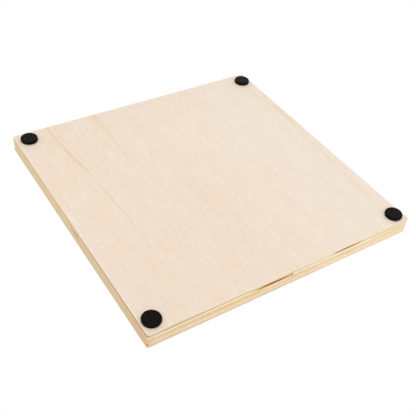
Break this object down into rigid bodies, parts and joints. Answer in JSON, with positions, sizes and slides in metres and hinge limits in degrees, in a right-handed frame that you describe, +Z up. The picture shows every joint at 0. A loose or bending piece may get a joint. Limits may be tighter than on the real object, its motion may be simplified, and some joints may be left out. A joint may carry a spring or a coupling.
{
  "type": "wooden math board game",
  "caption": "Square plywood game board with crossed plies, a playing face cut into a field of square number cells, and round rubber feet stuck under its corners.",
  "frame": {"origin": "on the plane that the four feet stand on, under the middle of the board", "axes": "+Z up, out of the playing face; +X to the right and +Y to the back as a player at the front edge sees the board"},
  "size_m": [0.25, 0.25, 0.0183],
  "materials": {
    "face_veneer": "sanded, unvarnished",
    "crossband_wood": "sanded edge",
    "inner_ply_wood": "sanded edge",
    "core_wood": "sanded edge",
    "foot_rubber": "matte, finely textured",
    "adhesive": "satin"
  },
  "bodies": {
    "root": {"foot_front_left": "foot_rubber", "foot_front_right": "foot_rubber", "foot_back_left": "foot_rubber", "foot_back_right": "foot_rubber", "adhesive_front_left": "adhesive", "adhesive_front_right": "adhesive", "adhesive_back_left": "adhesive", "adhesive_back_right": "adhesive", "underside_veneer": "face_veneer", "lower_crossband": "crossband_wood", "lower_inner_ply": "inner_ply_wood", "core_ply": "core_wood", "upper_inner_ply": "inner_ply_wood", "upper_crossband": "crossband_wood", "playing_face_veneer": "face_veneer"}
  },
  "joints": []
}
